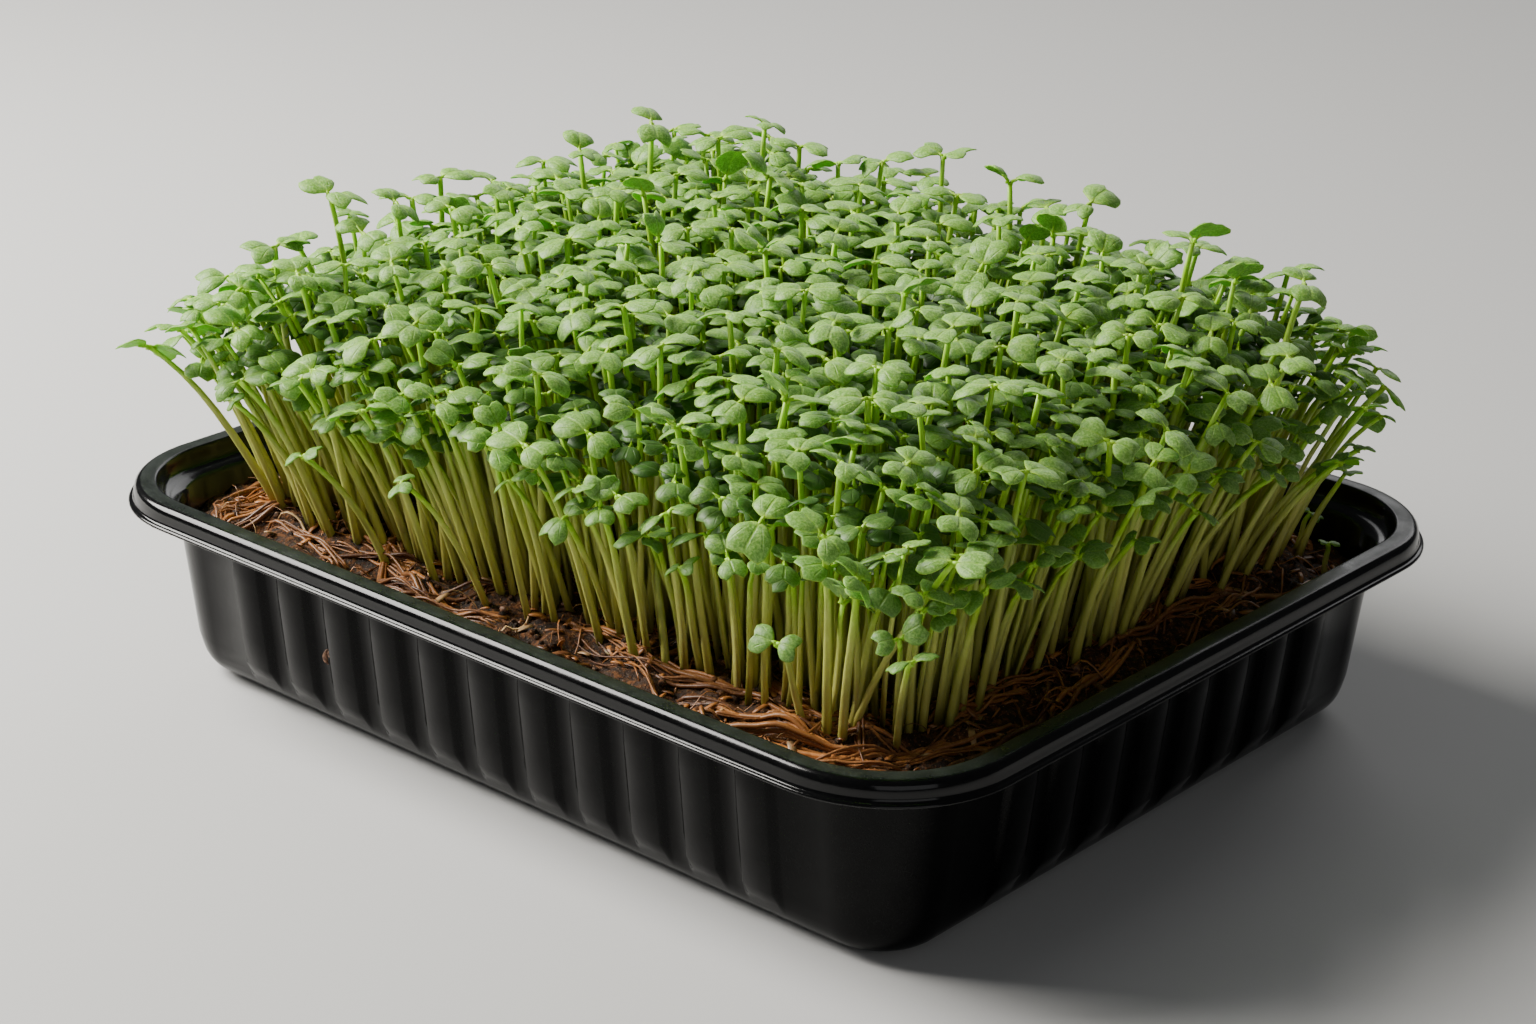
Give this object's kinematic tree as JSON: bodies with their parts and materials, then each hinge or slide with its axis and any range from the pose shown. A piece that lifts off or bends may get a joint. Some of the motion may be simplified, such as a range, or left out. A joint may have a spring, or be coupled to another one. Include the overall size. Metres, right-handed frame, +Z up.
{
  "type": "tray of microgreens",
  "caption": "Black plastic growing tray filled with coir substrate and a dense stand of young broccoli seedlings, each with two notched seed leaves on a pale upright stem.",
  "frame": {"origin": "middle of the tray's flat underside", "axes": "+Z up, X along the tray's long side, Y along its short side"},
  "size_m": [0.216, 0.18, 0.102],
  "materials": {
    "tray_plastic": "glossy black, with a fine dust film on the rim",
    "coir": "matt, fibrous, moist",
    "seedling": "satin leaves, smooth stems"
  },
  "bodies": {
    "root": {"tray": "tray_plastic", "substrate": "coir", "seedlings_01": "seedling", "seedlings_02": "seedling", "seedlings_03": "seedling", "seedlings_04": "seedling", "seedlings_05": "seedling", "seedlings_06": "seedling", "seedlings_07": "seedling", "seedlings_08": "seedling", "seedlings_09": "seedling", "seedlings_10": "seedling", "seedlings_11": "seedling", "seedlings_12": "seedling", "seedlings_13": "seedling", "seedlings_14": "seedling", "seedlings_15": "seedling", "seedlings_16": "seedling", "seedlings_17": "seedling", "seedlings_18": "seedling", "seedlings_19": "seedling", "seedlings_20": "seedling", "seedlings_21": "seedling", "seedlings_22": "seedling", "seedlings_23": "seedling", "seedlings_24": "seedling", "seedlings_25": "seedling", "seedlings_26": "seedling", "seedlings_27": "seedling", "seedlings_28": "seedling", "seedlings_29": "seedling", "seedlings_30": "seedling", "seedlings_31": "seedling", "seedlings_32": "seedling", "seedlings_33": "seedling", "seedlings_34": "seedling", "seedlings_35": "seedling", "seedlings_36": "seedling", "seedlings_37": "seedling", "seedlings_38": "seedling", "seedlings_39": "seedling", "seedlings_40": "seedling", "seedlings_41": "seedling", "seedlings_42": "seedling", "seedlings_43": "seedling", "seedlings_44": "seedling", "seedlings_45": "seedling", "seedlings_46": "seedling", "seedlings_47": "seedling", "seedlings_48": "seedling", "seedlings_49": "seedling"}
  },
  "joints": []
}
